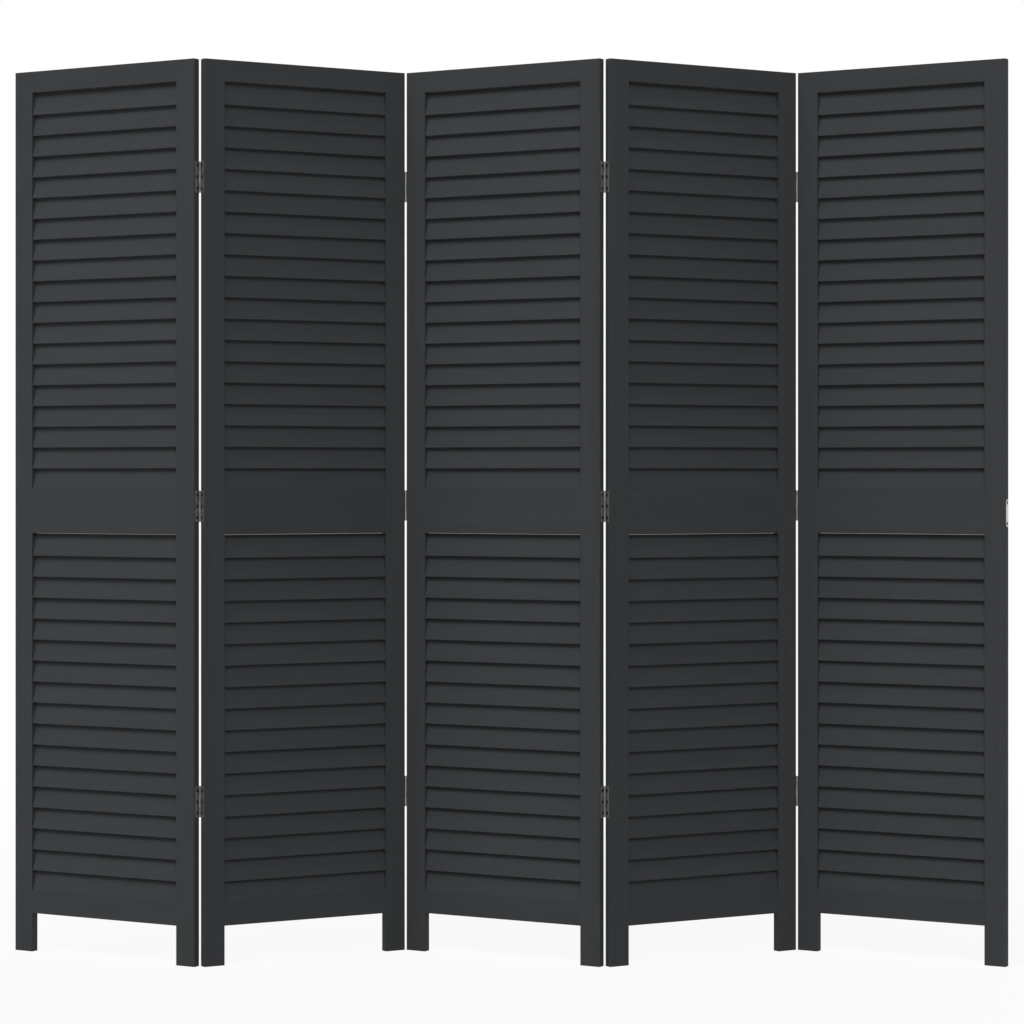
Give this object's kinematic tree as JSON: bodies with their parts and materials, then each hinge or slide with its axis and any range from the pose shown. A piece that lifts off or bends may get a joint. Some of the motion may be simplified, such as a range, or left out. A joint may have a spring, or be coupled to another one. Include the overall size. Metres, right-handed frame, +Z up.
{
  "type": "folding screen",
  "caption": "Free-standing folding screen of black louvred wooden panels, joined by butt hinges on their edges so that it stands in a zigzag or folds flat.",
  "frame": {"origin": "on the floor, under the centre of the middle panel", "axes": "+X along the row of panels, to the right seen from the front; +Y to the back; +Z up"},
  "size_m": [1.7814, 0.2126, 1.6],
  "materials": {
    "black_wood": "matt black stain",
    "hinge_steel": "dull zinc plating",
    "plate_steel": "bright zinc plating"
  },
  "bodies": {
    "panel_1": {"panel_1_left_stile": "black_wood", "panel_1_right_stile": "black_wood", "panel_1_top_rail": "black_wood", "panel_1_middle_rail": "black_wood", "panel_1_bottom_rail": "black_wood", "panel_1_upper_slats": "black_wood", "panel_1_lower_slats": "black_wood", "fold_1_left_leaves": "hinge_steel"},
    "panel_2": {"panel_2_left_stile": "black_wood", "panel_2_right_stile": "black_wood", "panel_2_top_rail": "black_wood", "panel_2_middle_rail": "black_wood", "panel_2_bottom_rail": "black_wood", "panel_2_upper_slats": "black_wood", "panel_2_lower_slats": "black_wood", "fold_1_right_leaves": "hinge_steel", "fold_2_left_leaves": "hinge_steel"},
    "panel_3": {"panel_3_left_stile": "black_wood", "panel_3_right_stile": "black_wood", "panel_3_top_rail": "black_wood", "panel_3_middle_rail": "black_wood", "panel_3_bottom_rail": "black_wood", "panel_3_upper_slats": "black_wood", "panel_3_lower_slats": "black_wood", "fold_2_right_leaves": "hinge_steel", "fold_3_left_leaves": "hinge_steel"},
    "panel_4": {"panel_4_left_stile": "black_wood", "panel_4_right_stile": "black_wood", "panel_4_top_rail": "black_wood", "panel_4_middle_rail": "black_wood", "panel_4_bottom_rail": "black_wood", "panel_4_upper_slats": "black_wood", "panel_4_lower_slats": "black_wood", "fold_3_right_leaves": "hinge_steel", "fold_4_left_leaves": "hinge_steel"},
    "panel_5": {"panel_5_left_stile": "black_wood", "panel_5_right_stile": "black_wood", "panel_5_top_rail": "black_wood", "panel_5_middle_rail": "black_wood", "panel_5_bottom_rail": "black_wood", "panel_5_upper_slats": "black_wood", "panel_5_lower_slats": "black_wood", "fold_4_right_leaves": "hinge_steel", "edge_plate": "plate_steel"}
  },
  "joints": [
    {"name": "fold_2", "type": "hinge", "parent": "panel_3", "child": "panel_2", "pos_m": [-0.1785, 0.09334, 0.811], "axis": [0, 0, 1], "range_deg": [-60, 115]},
    {"name": "fold_1", "type": "hinge", "parent": "panel_2", "child": "panel_1", "pos_m": [-0.53549, -0.09334, 0.811], "axis": [0, 0, -1], "range_deg": [-60, 120]},
    {"name": "fold_3", "type": "hinge", "parent": "panel_3", "child": "panel_4", "pos_m": [0.1785, -0.09334, 0.811], "axis": [0, 0, 1], "range_deg": [-60, 115]},
    {"name": "fold_4", "type": "hinge", "parent": "panel_4", "child": "panel_5", "pos_m": [0.53549, 0.09334, 0.811], "axis": [0, 0, -1], "range_deg": [-60, 120]}
  ]
}
